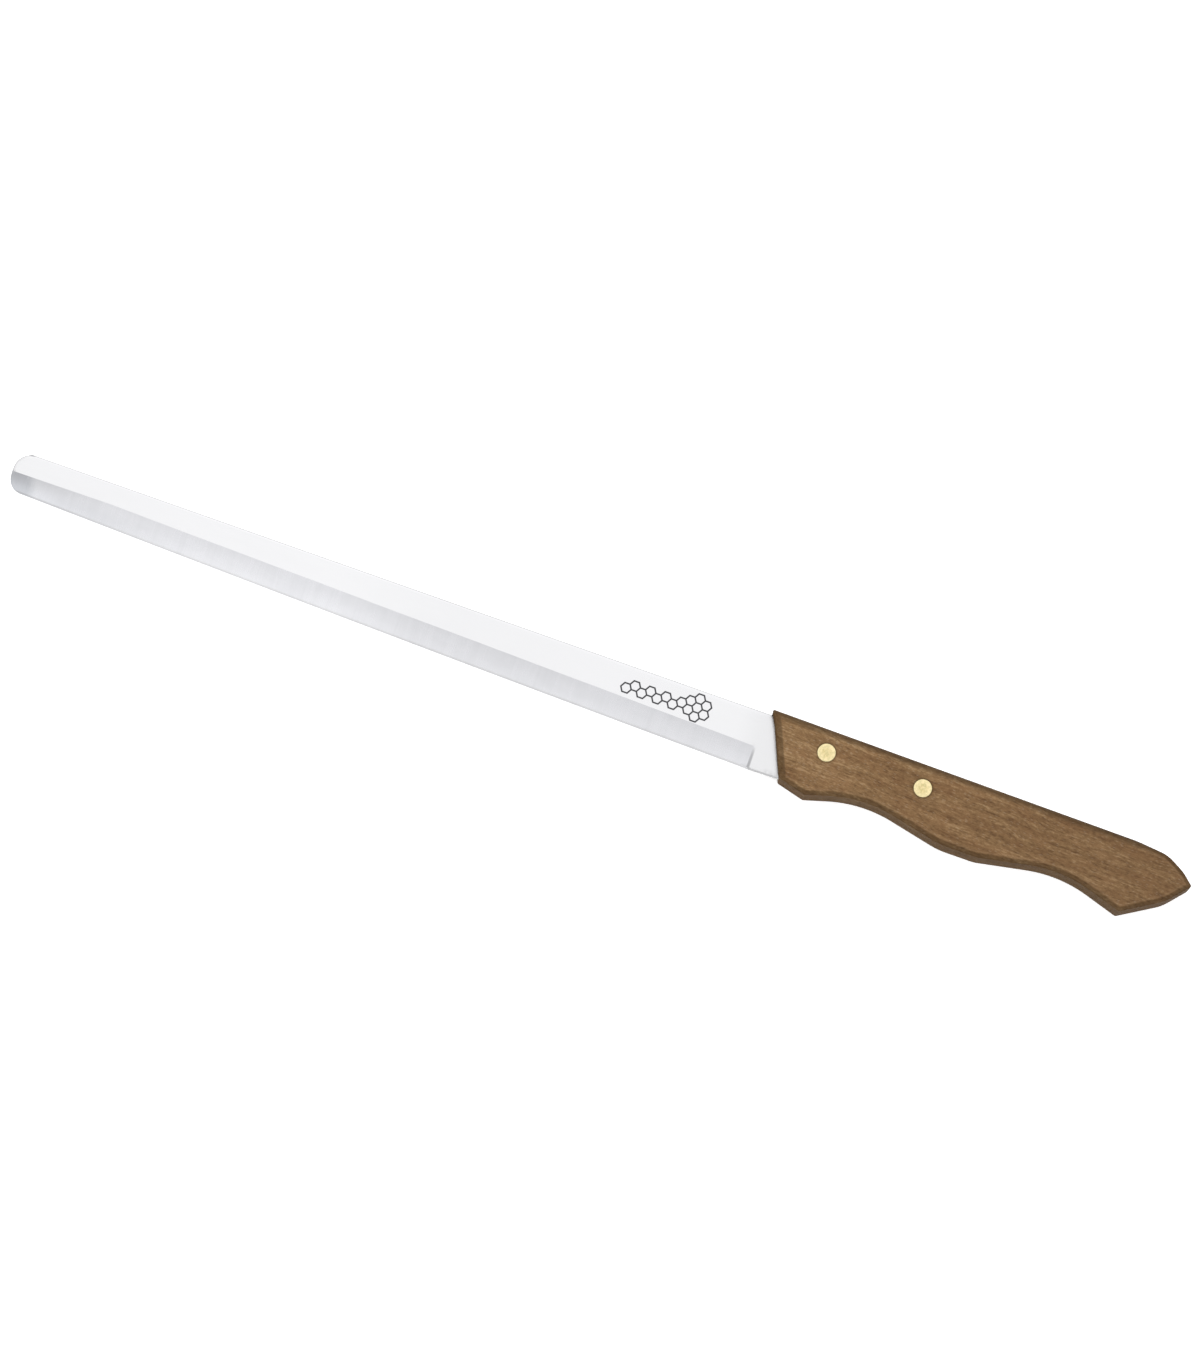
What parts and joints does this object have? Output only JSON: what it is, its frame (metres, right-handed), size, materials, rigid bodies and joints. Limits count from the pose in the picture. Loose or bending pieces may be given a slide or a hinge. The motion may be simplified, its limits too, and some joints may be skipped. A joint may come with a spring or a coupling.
{
  "type": "uncapping knife",
  "caption": "Beekeeper's uncapping knife: long straight bevelled blade with a rounded tip and a waisted one-piece wooden handle held by flush brass rivets.",
  "frame": {"origin": "on the handle's flat lower face, midway between the two rivets", "axes": "+X along the knife from the tip to the butt, +Y towards the spine, +Z through the handle's thickness, up from the face it lies on"},
  "size_m": [0.3833, 0.0234, 0.0125],
  "materials": {
    "steel": "satin, cross-ground bevels",
    "wood": "fine open-pored brown hardwood, lightly oiled",
    "brass": "ground flush, dull satin"
  },
  "bodies": {
    "root": {"blade": "steel", "handle": "wood", "front_rivet_tube": "brass", "front_rivet_pin": "brass", "rear_rivet_tube": "brass", "rear_rivet_pin": "brass"}
  },
  "joints": []
}
